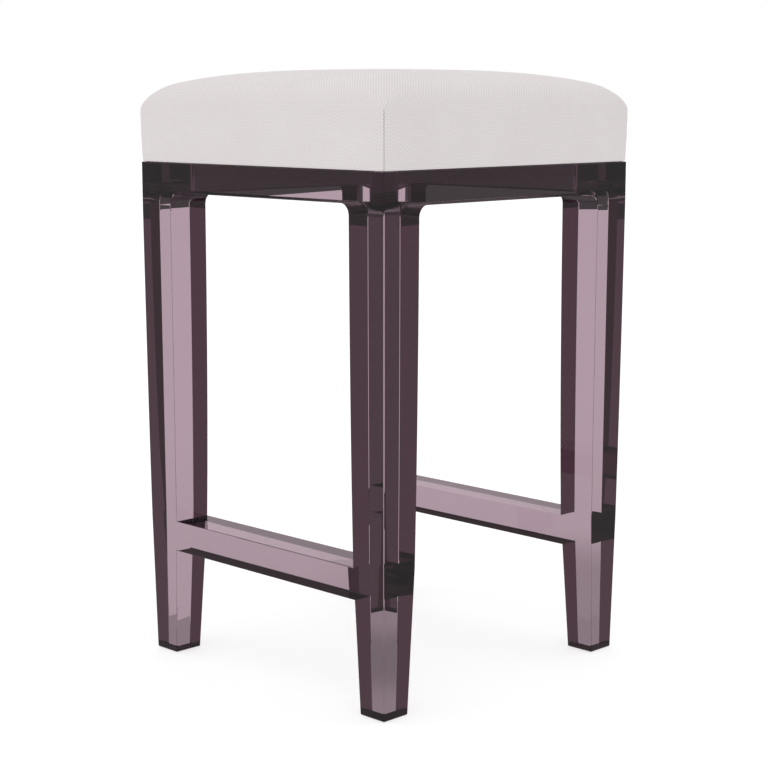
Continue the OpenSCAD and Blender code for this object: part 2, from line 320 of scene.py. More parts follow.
# %% Where the floor ends and the flags stand
FLOOR_END = 8.45
LEFT_STARTS = -0.1
LEFT_END = 10.25
FAR_LEFT = -2.0
FAR_LEFT_END = 7.4
FLAGS_AWAY = 7.3
FLAGS_LINE = 0.23
FLAGS_FLARE = 1.4
FLAGS = "#302A2E"

behind, across, window = behind_and_across(tree, place)
slope = add(tree, "MapRange", {"Value": across, "From Min": FAR_LEFT, "From Max": LEFT_STARTS,
                               "To Min": FAR_LEFT_END, "To Max": LEFT_END})
left = add(tree, "Math", {0: across, 1: LEFT_STARTS}, operation="LESS_THAN")
end = add(tree, "Mix", {0: left, 2: FLOOR_END, 3: slope})
past = add(tree, "Math", {0: behind, 1: end}, operation="GREATER_THAN")
dark = add(tree, "Math", {0: past, 1: window}, operation="MULTIPLY")

off_line = add(tree, "Math", {0: behind, 1: FLAGS_LINE}, operation="ADD")
off_line = add(tree, "Math", {0: off_line}, operation="ABSOLUTE")
flags = add(tree, "Math", {0: off_line, 1: FLAGS_FLARE, 2: FLAGS_AWAY}, operation="MULTIPLY_ADD")
sideways = add(tree, "Math", {0: across}, operation="ABSOLUTE")
far = add(tree, "Math", {0: sideways, 1: flags}, operation="GREATER_THAN")
dim = add(tree, "Mix", {0: far, 6: linear(DIM_ROOM), 7: linear(FLAGS)}, data_type="RGBA")
print("floor ends", FLOOR_END, "m behind the stool, and on the left", FAR_LEFT_END, "to", LEFT_END, "m")

# %% [markdown]
# Studio paper is matt and nearly white. The camera sees it as such, with a little glow, so that it is
# white beside the stool and still holds the soft shadow at the feet. Every other ray gets the levels
# from above, and plain white light goes from it to cloth and wood.

# %% Studio paper
FLOOR_MATT = "#BCBCBC"
FLOOR_GLOW = 0.585
FLOOR_GLINT = 0.38

glint = (FLOOR_GLINT, FLOOR_GLINT, FLOOR_GLINT, 1)
path, level = surroundings(tree, dark, white, dim, glint, linear("#FFFFFF"))
glow = add(tree, "Emission", {"Color": level, "Strength": 1.0})
matt = add(tree, "BsdfDiffuse", {"Color": linear(FLOOR_MATT)})
lift = add(tree, "Emission", {"Color": linear("#FFFFFF"), "Strength": FLOOR_GLOW})
direct = add(tree, "AddShader", {0: matt, 1: lift})
surface = add(tree, "MixShader", {0: path.outputs["Is Camera Ray"], 1: glow, 2: direct})
add(tree, "OutputMaterial", {"Surface": surface})
floor.data.materials.append(paper)
print("floor:", len(tree.nodes), "nodes")

# %% [markdown]
# The acrylic frame is ten blocks bonded into one, with joints that can't be seen. In the CAD model they
# are ten solids that touch. Left so, each joint would be two faces with air between, and it would
# mirror like a window. So the copies here each get a short tapered plug that reaches into the
# neighbour, and a boolean union makes one clear body of them. A leg's copy also gets a row of corners
# at the height where the stretchers' undersides meet it, because a union that makes a corner in the
# middle of a long edge leaves slivers there, which show as dark nicks in clear plastic.

# %% Copy the frame's blocks
LEGS = ["front_left_leg", "front_right_leg", "back_left_leg", "back_right_leg"]
# The axis that each rail runs along, 0 for X and 1 for Y.
RAILS = {"front_apron": 0, "back_apron": 0, "left_apron": 1, "right_apron": 1,
         "front_stretcher": 0, "back_stretcher": 0}
PLUG = 3 * MM
PLUG_TAPER = 0.9
SAME_POINT = 0.01 * MM
SAME_PLANE = math.radians(0.02)
SQUARE_ON = 0.99
ring_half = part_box("front_apron")[1].x
stretcher_low, stretcher_high = (corner.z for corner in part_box("front_stretcher"))


def cut_level(bm, z):
    """Cuts a row of edges round every block at a height, which leaves the shape as it is."""
    everything = bm.verts[:] + bm.edges[:] + bm.faces[:]
    bmesh.ops.bisect_plane(bm, geom=everything, plane_co=(0, 0, z), plane_no=(0, 0, 1), dist=SAME_POINT)


def grow_plug(bm, axis, side):
    """Grows a tapered plug out of the faces at one end of a rail."""
    ends = [f for f in bm.faces if f.normal[axis] * side > SQUARE_ON
            and f.calc_center_median()[axis] * side > ring_half - 1 * MM]
    grown = bmesh.ops.extrude_face_region(bm, geom=ends)["geom"]
    bmesh.ops.delete(bm, geom=[f for f in ends if f.is_valid], context="FACES")
    tips = [e for e in grown if isinstance(e, bmesh.types.BMVert)]
    middle = sum((v.co for v in tips), Vector()) / len(tips)
    for v in tips:
        v.co = middle + (v.co - middle) * PLUG_TAPER
        v.co[axis] += side * PLUG


def open_edges(bm):
    return sum(1 for e in bm.edges if len(e.link_faces) != 2)


def block_copy(name, axis=None):
    """A welded copy of one block: a leg with its row of corners, or a rail with a plug at each end."""
    bm = bmesh.new()
    bm.from_mesh(nodes[name].data)
    bmesh.ops.remove_doubles(bm, verts=bm.verts, dist=SAME_POINT)
    bmesh.ops.dissolve_limit(bm, angle_limit=SAME_PLANE, verts=bm.verts, edges=bm.edges)
    if axis is None:
        cut_level(bm, stretcher_low)
    else:
        for side in (-1, 1):
            grow_plug(bm, axis, side)
    print(name, "open edges", open_edges(bm), "volume", round(bm.calc_volume() / MM ** 3))
    return new_object("copy_" + name, to_mesh(bm, "copy_" + name))


copies = [block_copy(name) for name in LEGS] + [block_copy(name, axis) for name, axis in RAILS.items()]

# %% [markdown]
# A Boolean modifier on the first copy takes in the other nine. Its exact solver is the one that copes
# with faces in one plane, as the legs and aprons have. What the union leaves is tidied: points that lie
# a fraction of a millimetre apart are merged, walls that are left inside are taken out, and faces in
# one plane become one face again. The solver lists its points and faces in another order each time, and
# what is merged into what hangs on it. So they are first put in the order of where they lie, and each
# run gives the same body. A closed body has no open edges.

# %% Bond the blocks into one body
CLOSE_POINTS = 0.3 * MM


def put_in_order(elements, place):
    """Sorts points, edges or faces by where they lie."""
    rank = {element: number for number, element in enumerate(sorted(elements, key=place))}
    elements.sort(key=rank.get)
    elements.index_update()


for other in copies[1:]:
    union = copies[0].modifiers.new(other.name, "BOOLEAN")
    union.operation = "UNION"
    union.solver = "EXACT"
    union.object = other
depsgraph = bpy.context.evaluated_depsgraph_get()
body = bpy.data.meshes.new_from_object(copies[0].evaluated_get(depsgraph))
for copy in copies:
    bpy.data.objects.remove(copy)

bm = bmesh.new()
bm.from_mesh(body)
put_in_order(bm.verts, lambda v: v.co.to_tuple(6))
put_in_order(bm.edges, lambda e: ((e.verts[0].co + e.verts[1].co) / 2).to_tuple(6))
put_in_order(bm.faces, lambda f: f.calc_center_median().to_tuple(6))
bmesh.ops.remove_doubles(bm, verts=bm.verts, dist=CLOSE_POINTS)
inner = [f for f in bm.faces if all(len(e.link_faces) > 2 for e in f.edges)]
bmesh.ops.delete(bm, geom=inner, context="FACES")
bmesh.ops.dissolve_limit(bm, angle_limit=SAME_PLANE, verts=bm.verts, edges=bm.edges)
print("frame: open edges", open_edges(bm), "faces", len(bm.faces),
      "volume in mm3", round(bm.calc_volume() / MM ** 3))
bm.to_mesh(body)
bm.free()

# %% [markdown]
# Polished acrylic is never knife-sharp: its edges are flamed or buffed, about a millimetre round, and
# each one shows as a thin light or dark line. A Bevel modifier limited by angle would also round the
# inner corners at the joints, which are square where two blocks are bonded. So it is limited by weight,
# and only the outer edges get one. The shallow bends of the legs stay as they are, and the faces stay
# flat shaded, because a flat face of a clear block has to bend light as one plane. Two more rows of
# edges beside the stretchers keep what the bevel bends there within a few millimetres. A Weld modifier
# takes out the specks without area that the bevel leaves where an eased edge runs into a square one.

# %% Ease the frame's edges
EASED = 0.9 * MM
BAND = 3 * MM
OUTER_EDGE = math.radians(25)
bm = bmesh.new()
bm.from_mesh(body)
for z in (stretcher_low - BAND, stretcher_high + BAND):
    cut_level(bm, z)
weight = bm.edges.layers.float.new("bevel_weight_edge")
for e in bm.edges:
    if e.is_convex and e.calc_face_angle() > OUTER_EDGE:
        e[weight] = 1.0
bm.to_mesh(body)
bm.free()
clear_frame = new_object("clear_frame", body)
easing = clear_frame.modifiers.new("eased edges", "BEVEL")
easing.width = EASED
easing.segments = 2
easing.use_clamp_overlap = False
easing.limit_method = "WEIGHT"
weld = clear_frame.modifiers.new("weld", "WELD")
weld.merge_threshold = SAME_POINT
for polygon in body.polygons:
    polygon.use_smooth = False
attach(clear_frame, "root")
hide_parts(*LEGS, *RAILS)
print("clear frame:", len(body.polygons), "faces before easing")

# %% [markdown]
# Acrylic is cast as thick sheet and polished on every face, so it has no roughness, and what shows are
# clean bands of light and dark along its edges. Its refractive index is 1.49. The batch of this frame
# has a faint smoky rose tint. The shader tints light once at each face that it passes, so the colour is
# the tint of one whole slab. Cast sheet is never perfectly even, so a slow noise, some eleven
# centimetres from cloud to cloud, varies the tint a little.

# %% Acrylic
TINT_CLOUD = 111 * MM
acrylic, tree, shader = new_material("polished cast acrylic, faint smoky rose", IOR=1.49, Roughness=0.0,
                                     Transmission_Weight=1.0)
place = add(tree, "TexCoord").outputs["Object"]
slow = add(tree, "TexNoise", {"Vector": place, "Scale": 1 / TINT_CLOUD, "Detail": 1.0})
tint = add(tree, "Mix", {"Factor": slow, 6: linear("#B29AA6"), 7: linear("#B69EAA")}, data_type="RGBA")
feed(tree, shader, Base_Color=tint)
dress(clear_frame, acrylic)
print("acrylic:", len(tree.nodes), "nodes")

# %% [markdown]
# Under each foot is a thin disc of felt, so that the stool slides without a scratch. It is die-cut, with
# a softly rounded rim where the fibres have been pressed. A small gap over it stands for the film of
# air between felt and plastic, which is what hides it from above.

# %% Felt discs
FELT_TOP = 0.8 * MM
FELT_R = 12 * MM
FELT_RIM = 0.25 * MM
felt_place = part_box("felt_pads")[1].x - FELT_R
bm = bmesh.new()
for x in (-felt_place, felt_place):
    for y in (-felt_place, felt_place):
        made = bmesh.ops.create_cone(bm, cap_ends=True, segments=64, radius1=FELT_R, radius2=FELT_R,
                                     depth=FELT_TOP)
        for v in made["verts"]:
            v.co += Vector((x, y, FELT_TOP / 2))
felt_discs = new_object("felt_discs", to_mesh(bm, "felt_discs"))
rim = felt_discs.modifiers.new("pressed rim", "BEVEL")
rim.width = FELT_RIM
rim.segments = 3
rim.limit_method = "ANGLE"
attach(felt_discs, "root")
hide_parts("felt_pads")
print("felt discs at", round(felt_place / MM, 2), "mm from the middle lines")

# %% [markdown]
# Pressed wool felt is a mat of fibres without a weave. It has no shine, only the soft sheen of fibre
# ends, and its grey is mottled where lighter and darker wool lie side by side. A fine noise draws both
# the mottling and the fibres' height.

# %% Felt
FIBRE = 0.4 * MM
felt, tree, shader = new_material("pressed wool felt, dark grey", Roughness=1.0, Sheen_Weight=0.3,
                                  Sheen_Roughness=0.6)
place = add(tree, "TexCoord").outputs["Object"]
fibres = add(tree, "TexNoise", {"Vector": place, "Scale": 1 / FIBRE, "Detail": 4.0})
tone = add(tree, "Mix", {"Factor": fibres, 6: linear("#2A2625"), 7: linear("#5A5352")}, data_type="RGBA")
bump = add(tree, "Bump", {"Height": fibres, "Strength": 0.6, "Distance": 0.2 * MM})
feed(tree, shader, Base_Color=tone, Normal=bump)
dress(felt_discs, felt)
print("felt:", len(tree.nodes), "nodes")

# %% [markdown]
# The cushion is a foam block under wadding, pulled tight into a cover of off-white plain-weave cloth.
# Its sides are nearly upright with a slight swell, the shoulder is round, and the crown rises gently to
# the middle. A cushion could be sculpted or drawn as a subdivided box. Here a grid is laid over the
# same outline as the CAD solid's, and a cloth simulation blows it up within a small cap, which gives
# the tight, slightly uneven fullness of a stuffed cover. First comes the outline: it is flush with the
# frame below, and goes down to the dust cover, a hair above the frame. The CAD mesh stores its points
# with seven digits, and each stray digit would give a slightly different cover, so the sizes that come
# from it are rounded to the tenth of a millimetre in which they were drawn.

# %% Outline of the cushion
def drawn(length):
    """A length of the CAD model as it was drawn, in tenths of a millimetre."""
    return round(length / MM, 1) * MM


OVER_FRAME = 0.3 * MM
HALF = drawn(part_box("front_right_leg")[1].x)
BASE = drawn(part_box("dust_cover")[0].z + OVER_FRAME)
CROWN_TOP = drawn(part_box("seat_fabric")[1].z)
BULGE = drawn(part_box("seat_fabric")[1].x - HALF)
FULLEST = 605.7 * MM
SHOULDER_R = 28 * MM
CROWN_RISE = 14.5 * MM
CROWN_POWER = 3.5
CROWN_CORNER_SHARE = 0.18
CORNER_R = 3 * MM
EDGE_R = 1.2 * MM
FLANGE_HALF = 134.5 * MM
FLANGE_CORNER_R = 0.5 * MM
JUST_ABOVE = 0.1 * MM

# The crown's half width and its angle at the edge hang on each other, so the angle is found in two steps.
shoulder_half = HALF + BULGE - SHOULDER_R
rough_angle = math.atan(CROWN_RISE * CROWN_POWER / shoulder_half)
crown_angle = math.atan(CROWN_RISE * CROWN_POWER / (shoulder_half + SHOULDER_R * math.sin(rough_angle)))
crown_half = shoulder_half + SHOULDER_R * math.sin(crown_angle)
shoulder_z = CROWN_TOP - CROWN_RISE - SHOULDER_R * math.cos(crown_angle)
crown_corner_r = CROWN_CORNER_SHARE * crown_half
print("shoulder starts at", round(shoulder_z / MM, 1), "mm and the crown's edge is",
      round(crown_half / MM, 1), "mm from the middle")

# %% [markdown]
# The grid is laid in rings that are concentric round squares, so the upright seams at the corners each
# run along one line of edges. Five short functions give a ring of each stretch of the outline, as its
# half width, its height and its corner radius, for a share of the way from 0 to 1. They follow each
# other from the middle of the crown down to the flange that is turned in under the board.

# %% Rings of the cushion
CROWN_RINGS, SHOULDER_RINGS, SIDE_RINGS, EDGE_RINGS, FLANGE_RINGS = 17, 7, 11, 3, 5
TOP_RINGS = CROWN_RINGS + SHOULDER_RINGS


def crown_ring(share):
    half = crown_half * share
    corner = half * (1 - (1 - CROWN_CORNER_SHARE) * math.sqrt(share))
    return half, CROWN_TOP - CROWN_RISE * share ** CROWN_POWER, corner


def shoulder_ring(share):
    sweep = math.pi / 2 - crown_angle
    turn = sweep * (1 - share)
    corner = CORNER_R + (crown_corner_r - CORNER_R) * turn / sweep
    return shoulder_half + SHOULDER_R * math.cos(turn), shoulder_z + SHOULDER_R * math.sin(turn), corner


def side_ring(share):
    z = shoulder_z + (BASE + EDGE_R - shoulder_z) * share
    fall = max(0.0, (FULLEST - z) / (FULLEST - BASE))
    return HALF + BULGE * (1 - fall * fall), z, CORNER_R


def edge_ring(share):
    turn = math.pi / 2 * share
    return HALF - EDGE_R + EDGE_R * math.cos(turn), BASE + EDGE_R - EDGE_R * math.sin(turn), CORNER_R


def flange_ring(share):
    outer = HALF - EDGE_R
    corner = CORNER_R * (1 - share) + FLANGE_CORNER_R * share
    return outer + (FLANGE_HALF - outer) * share, BASE, corner


rings = [crown_ring(0)]
for count, ring in ((CROWN_RINGS, crown_ring), (SHOULDER_RINGS, shoulder_ring), (SIDE_RINGS, side_ring),
                    (EDGE_RINGS, edge_ring), (FLANGE_RINGS, flange_ring)):
    rings += [ring(k / count) for k in range(1, count + 1)]
print("rings:", len(rings), "of which", TOP_RINGS, "on top")

# %% [markdown]
# A fan of triangles in the middle of the crown would pinch when it is subdivided. So the top is a
# square grid of cells, in which each square ring is bent into its round square. The rows below it hang
# on the grid's rim, and one large face closes the underside until the cover has been blown up.

# %% Lay the grid
LEAST_CORNER_R = 0.4 * MM
ROUNDEST_SHARE = 0.98


def on_round_square(half, r, u, v):
    """The point of a round square that stands for the point (u, v) of the square from -1 to 1. The arc
    of a corner takes its share of the points, at the rim at least two steps of the grid on either side."""
    r = min(max(r, LEAST_CORNER_R), ROUNDEST_SHARE * half)
    flip = abs(v) > abs(u)
    if flip:
        u, v = v, u
    arc = max(r * math.pi / 4 / (half - r + r * math.pi / 4), 2 / TOP_RINGS)
    side, along = math.copysign(1, u), abs(v)
    if along <= 1 - arc:
        x, y = half, along / (1 - arc) * (half - r)
    else:
        turn = (along - 1 + arc) / arc * math.pi / 4
        x, y = half - r + r * math.cos(turn), half - r + r * math.sin(turn)
    x, y = side * x, math.copysign(y, v)
    return (y, x) if flip else (x, y)


def cushion_mesh(name):
    """A closed grid over the cushion's rings."""
    n = TOP_RINGS
    bm = bmesh.new()
    grid = {}
    for i in range(-n, n + 1):
        for j in range(-n, n + 1):
            k = max(abs(i), abs(j))
            half, z, r = rings[k]
            x, y = on_round_square(half, r, i / k, j / k) if k else (0.0, 0.0)
            grid[i, j] = bm.verts.new((x, y, z))
    for i in range(-n, n):
        for j in range(-n, n):
            bm.faces.new((grid[i, j], grid[i + 1, j], grid[i + 1, j + 1], grid[i, j + 1]))
    walk = ([(i, -n) for i in range(-n, n)] + [(n, j) for j in range(-n, n)]
            + [(i, n) for i in range(n, -n, -1)] + [(-n, j) for j in range(n, -n, -1)])
    last = [grid[p] for p in walk]
    for half, z, r in rings[n + 1:]:
        row = [bm.verts.new((*on_round_square(half, r, i / n, j / n), z)) for i, j in walk]
        for a in range(len(walk)):
            b = (a + 1) % len(walk)
            bm.faces.new((last[a], row[a], row[b], last[b]))
        last = row
    bm.faces.new(last[::-1])
    bmesh.ops.recalc_face_normals(bm, faces=bm.faces)
    return to_mesh(bm, name)


mesh = cushion_mesh("seat_cover")
seat_cover = new_object("seat_cover", mesh)
print("cushion grid:", len(mesh.vertices), "points")

# %% [markdown]
# The simulation holds the cover where it is stapled under the board and lets air pressure fill the
# rest, without gravity. Twenty frames are enough for it to swell. A cap on how far a point may move
# keeps the cushion's true size: a small move stays nearly whole, and a large one ends short of the cap.

# %% Blow the cover up
CAP = 1.2 * MM
PRESSURE = 4.0
STIFFNESS = 40
CLOTH_KG = 0.3
QUALITY_STEPS = 6
FRAMES = 20
start = [v.co.copy() for v in mesh.vertices]
held = seat_cover.vertex_groups.new(name="stapled")
held.add([v.index for v in mesh.vertices if v.co.z < BASE + EDGE_R + JUST_ABOVE], 1.0, "REPLACE")
cloth = seat_cover.modifiers.new("cover", "CLOTH")
cloth.settings.use_pressure = True
cloth.settings.uniform_pressure_force = PRESSURE
cloth.settings.effector_weights.gravity = 0
cloth.settings.vertex_group_mass = "stapled"
cloth.settings.quality = QUALITY_STEPS
cloth.settings.mass = CLOTH_KG
cloth.settings.tension_stiffness = STIFFNESS
cloth.settings.compression_stiffness = STIFFNESS
cloth.point_cache.frame_start, cloth.point_cache.frame_end = 1, FRAMES
for number in range(1, FRAMES + 1):
    scene.frame_set(number)
blown = seat_cover.evaluated_get(bpy.context.evaluated_depsgraph_get()).data
moves = [b.co - a for a, b in zip(start, blown.vertices)]
print("cover moved by up to", round(max(m.length for m in moves) / MM, 2), "mm before the cap")
seat_cover.modifiers.remove(cloth)
seat_cover.vertex_groups.clear()
scene.frame_set(1)
for v, a, move in zip(mesh.vertices, start, moves):
    v.co = a + move * CAP / (CAP + move.length)
print("the crown's top is at", round(max(v.co.z for v in mesh.vertices) / MM, 2), "mm")

# %% [markdown]
# The cover is sewn from panels that meet in one upright seam at each corner. The seam ends where the
# cloth starts to turn over the shoulder. The real seam is a fold between two edges of cloth, so it is
# drawn as a narrow groove along the grid's corner line, with a crease that keeps it sharp when the mesh
# is subdivided. The bottom of the fold, where hardly any light falls, is narrower than the grid can
# show, so the cloth's material adds it as a thin dark line.

# %% Sew the seams
SEAM_TOP = 621 * MM
SEAM_FADE = 10 * MM
SEAM_DEEP = 0.8 * MM
SEAM_CREASE = 0.8
CORNER_LINE = 0.05 * MM
NEAR_CORNER = 6 * MM


def on_seam(point):
    """True on a corner line of the grid, from just above the flange up to where the seam ends."""
    at_corner = abs(abs(point.x) - abs(point.y)) < CORNER_LINE and abs(point.x) > HALF - NEAR_CORNER
    return at_corner and BASE + JUST_ABOVE < point.z < SEAM_TOP


bm = bmesh.new()
bm.from_mesh(mesh)
crease = bm.edges.layers.float.new("crease_edge")
sewn = {v for v in bm.verts if on_seam(v.co)}
for v in sewn:
    outward = Vector((math.copysign(1, v.co.x), math.copysign(1, v.co.y), 0)).normalized()
    v.co -= outward * SEAM_DEEP * min(1.0, (SEAM_TOP - v.co.z) / SEAM_FADE)
for e in bm.edges:
    if e.verts[0] in sewn and e.verts[1] in sewn:
        e[crease] = SEAM_CREASE
print("seam points:", len(sewn))

# %% [markdown]
# The cloth is only turned under the board's edge and stapled, so the face that closed the underside
# goes. Solidify gives the cloth its thickness, inwards. Before that, the cover's outer skin is kept as
# a search tree, with which the wadding can later be held under it.

# %% Open the underside and thicken the cloth
CLOTH_T = 1.4 * MM
caps = [f for f in bm.faces if len(f.verts) > 4]
bmesh.ops.delete(bm, geom=caps, context="FACES_ONLY")
bm.to_mesh(mesh)
bm.free()
for polygon in mesh.polygons:
    polygon.use_smooth = True
finer = seat_cover.modifiers.new("finer", "SUBSURF")
finer.levels = finer.render_levels = 1
skin = BVHTree.FromObject(seat_cover, bpy.context.evaluated_depsgraph_get())
thick = seat_cover.modifiers.new("cloth thickness", "SOLIDIFY")
thick.thickness = CLOTH_T
thick.offset = -1
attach(seat_cover, "root")
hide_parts("seat_fabric")
print("cover:", len(mesh.polygons), "faces before they are subdivided")

# %% [markdown]
# The cover is a plain weave, one thread over and one under. It gives the eye a fine even grid with no
# shine. A weave can be drawn with UVs, but a stretched cover is simpler in object space: warp threads
# lie at steps of x on the top, and run down the front and back as steps of x too, and the other set
# lies at steps of y and z. Upholstery cotton of this weight has a thread every millimetre or so. The
# threads here are 1.85 mm apart, which is about as fine as this picture can show. A slow noise lets
# them wander from their lines.

# %% Threads of the cover
THREAD = 1.85 * MM
WANDER = 1.2 * MM
WANDER_SIZE = 14 * MM
cloth_material, tree, shader = new_material("plain-weave upholstery cotton, off-white", Roughness=0.92,
                                            Sheen_Weight=0.12, Sheen_Roughness=0.5, Specular_IOR_Level=0.25)
place = add(tree, "TexCoord").outputs["Object"]
wander = add(tree, "TexNoise", {"Vector": place, "Scale": 1 / WANDER_SIZE, "Detail": 2.0})
shifted = add(tree, "VectorMath", {0: wander.outputs["Color"], 1: (0.5, 0.5, 0.5)}, operation="SUBTRACT")
shifted = add(tree, "VectorMath", {0: shifted, "Scale": WANDER}, operation="SCALE")
woven = add(tree, "VectorMath", {0: place, 1: shifted}, operation="ADD")
turns = add(tree, "VectorMath", {0: woven, "Scale": math.pi / THREAD}, operation="SCALE")
axes = add(tree, "SeparateXYZ", {0: turns})
waves = {a: add(tree, "Math", {0: axes.outputs[a]}, operation="SINE") for a in "XYZ"}
rounds = {a: add(tree, "Math", {0: waves[a]}, operation="ABSOLUTE") for a in "XYZ"}
print("threads", THREAD / MM, "mm apart")

# %% [markdown]
# Where two sets of threads cross, the product of their waves says which is the upper one, in turn like
# a chessboard. Three crossings are made, one for the faces that look along each axis, and the face's
# normal chooses among them. The weft is a little darker than the warp. The thread's height also shades
# it, because the gaps between threads lie in their own shade, and a slow noise lets the dye vary.

# %% Colour and height of the threads
CROSS_BLEND = 0.25
TOP_FROM, TOP_TO = 0.6, 0.8
SIDE_BLEND = 0.05
DYE_CLOUD = 60 * MM


def crossing(first, second):
    """The height of the upper thread, and 1 where the second set is the upper."""
    over = add(tree, "Math", {0: waves[first], 1: waves[second]}, operation="MULTIPLY")
    upper = add(tree, "MapRange", {"Value": over, "From Min": -CROSS_BLEND, "From Max": CROSS_BLEND},
                interpolation_type="SMOOTHSTEP")
    return add(tree, "Mix", {0: upper, 2: rounds[first], 3: rounds[second]}), upper


facing = add(tree, "NewGeometry").outputs["Normal"]
facing = add(tree, "VectorMath", {0: facing}, operation="ABSOLUTE")
facing = add(tree, "SeparateXYZ", {0: facing})
on_top = add(tree, "MapRange", {"Value": facing.outputs["Z"], "From Min": TOP_FROM, "From Max": TOP_TO})
lead = add(tree, "Math", {0: facing.outputs["X"], 1: facing.outputs["Y"]}, operation="SUBTRACT")
on_side = add(tree, "MapRange", {"Value": lead, "From Min": -SIDE_BLEND, "From Max": SIDE_BLEND})
chosen = []
for top, front, side in zip(crossing("X", "Y"), crossing("X", "Z"), crossing("Y", "Z")):
    upright = add(tree, "Mix", {0: on_side, 2: front, 3: side})
    chosen.append(add(tree, "Mix", {0: on_top, 2: upright, 3: top}))
height, upper = chosen
warp = add(tree, "Mix", {0: height, 6: linear("#D6D1CF"), 7: linear("#EDEAEB")}, data_type="RGBA")
weft = add(tree, "Mix", {0: height, 6: linear("#C4BEBC"), 7: linear("#DFDAD9")}, data_type="RGBA")
tone = add(tree, "Mix", {0: upper, 6: weft, 7: warp}, data_type="RGBA")
dye = add(tree, "TexNoise", {"Vector": place, "Scale": 1 / DYE_CLOUD, "Detail": 3.0})
dye = add(tree, "Mix", {0: dye, 6: linear("#F8F6F6"), 7: linear("#FFFFFF")}, data_type="RGBA")
tone = add(tree, "Mix", {0: 1.0, 6: tone, 7: dye}, data_type="RGBA", blend_type="MULTIPLY")
print("weave:", len(tree.nodes), "nodes")

# %% [markdown]
# The fold of each corner seam lies where x and y are equally far from the middle, up to the shoulder.
# Its bottom gets hardly any light, so it is painted in as a dark line of shade, and its bump lies a few
# thread heights deeper than the weave.

# %% Painted shade and groove in the fold of the corner seams
SEAM_LINE = 0.7 * MM
FOLD_DEEP = 3.0
where = add(tree, "VectorMath", {0: place}, operation="ABSOLUTE")
where = add(tree, "SeparateXYZ", {0: where})
aside = add(tree, "Math", {0: where.outputs["X"], 1: where.outputs["Y"]}, operation="SUBTRACT")
aside = add(tree, "Math", {0: aside}, operation="ABSOLUTE")
line = add(tree, "MapRange", {"Value": aside, "From Max": SEAM_LINE, "To Min": 1, "To Max": 0},
           interpolation_type="SMOOTHSTEP")
reach = add(tree, "MapRange", {"Value": where.outputs["Z"], "From Min": SEAM_TOP - SEAM_FADE / 2,
                               "From Max": SEAM_TOP, "To Min": 1, "To Max": 0})
fold_groove_and_painted_shade = add(tree, "Math", {0: line, 1: reach}, operation="MULTIPLY")
# Painted shade: the bottom of the fold is darkened in the cloth's colour.
colour = add(tree, "Mix", {0: fold_groove_and_painted_shade, 6: tone, 7: linear("#857D79")}, data_type="RGBA")
sunk = add(tree, "Math", {0: fold_groove_and_painted_shade, 1: -FOLD_DEEP, 2: height}, operation="MULTIPLY_ADD")
bump = add(tree, "Bump", {"Height": sunk, "Strength": 0.35, "Distance": 0.35 * MM})
feed(tree, shader, Base_Color=colour, Normal=bump)
dress(seat_cover, cloth_material)
print("cover cloth:", len(tree.nodes), "nodes")

# %% [markdown]
# Under the cover lies a sheet of polyester wadding over a block of foam. Neither shows on the finished
# stool, but both are pieces of it, so they are made as what they are: the wadding a lofty shell with a
# lumpy surface, and the foam a block with softly rounded edges. Each is a remeshed copy of its solid,
# because a voxel remesh gives an even grid that three sine waves can push into lumps. The tight cover
# squeezes the wadding at its corners, so each point that would come too near the cover's outside is
# moved in to a set depth under it.

# %% Wadding and foam
PRESSED = CLOTH_T + 0.8 * MM


def soft_copy(name, source, voxel, lump, lump_size, seed):
    """A remeshed copy of a soft CAD solid with a lumpy surface, pressed in where the cover is close."""
    copy = new_object(name, nodes[source].data.copy())
    copy.data.materials.clear()
    remesh = copy.modifiers.new("remesh", "REMESH")
    remesh.mode = "VOXEL"
    remesh.voxel_size = voxel
    copy.data = bpy.data.meshes.new_from_object(copy.evaluated_get(bpy.context.evaluated_depsgraph_get()))
    copy.modifiers.clear()
    copy.data.name = name
    for v in copy.data.vertices:
        p = v.co / lump_size + Vector((seed, 0, 0))
        swell = math.sin(p.x) * math.sin(p.y * 1.3 + 1) * math.sin(p.z * 1.7 + 2)
        v.co -= v.normal * lump * (0.6 + 0.4 * swell)
        near, normal, _, _ = skin.find_nearest(v.co)
        if (near - v.co).dot(normal) < PRESSED:
            v.co = near - normal * PRESSED
    for polygon in copy.data.polygons:
        polygon.use_smooth = True
    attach(copy, "root")
    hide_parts(source)
    return copy


seat_wadding = soft_copy("wadding_sheet", "seat_wadding", voxel=5 * MM, lump=1.4 * MM,
                         lump_size=9 * MM, seed=1)
seat_foam = soft_copy("foam_block", "seat_foam", voxel=8 * MM, lump=0.3 * MM, lump_size=14 * MM, seed=2)
print("wadding:", len(seat_wadding.data.polygons), "faces; foam:", len(seat_foam.data.polygons), "faces")

# %% [markdown]
# Polyester wadding is a web of crimped white fibres, carded into a loose sheet. It looks matt and
# cloudy, with a sheen like cotton wool. A noise that is bent by itself gives the tangle.

# %% Wadding fibres
TUFT = 3 * MM
wadding, tree, shader = new_material("polyester wadding", Roughness=1.0, Sheen_Weight=0.4)
place = add(tree, "TexCoord").outputs["Object"]
fibres = add(tree, "TexNoise", {"Vector": place, "Scale": 1 / TUFT, "Detail": 6.0, "Distortion": 1.5})
tone = add(tree, "Mix", {"Factor": fibres, 6: linear("#E4E4E2"), 7: linear("#FAFAF8")}, data_type="RGBA")
bump = add(tree, "Bump", {"Height": fibres, "Strength": 0.8, "Distance": 1 * MM})
feed(tree, shader, Base_Color=tone, Normal=bump)
dress(seat_wadding, wadding)
print("wadding:", len(tree.nodes), "nodes")

# %% [markdown]
# Upholstery foam is blown polyurethane cut from a large block, so its faces show the open cells: small
# dark pits in a cream colour. Real cells are about half a millimetre wide, and they are drawn three
# times as coarse, so that they show. A Voronoi pattern is made of cells too, so it draws them.

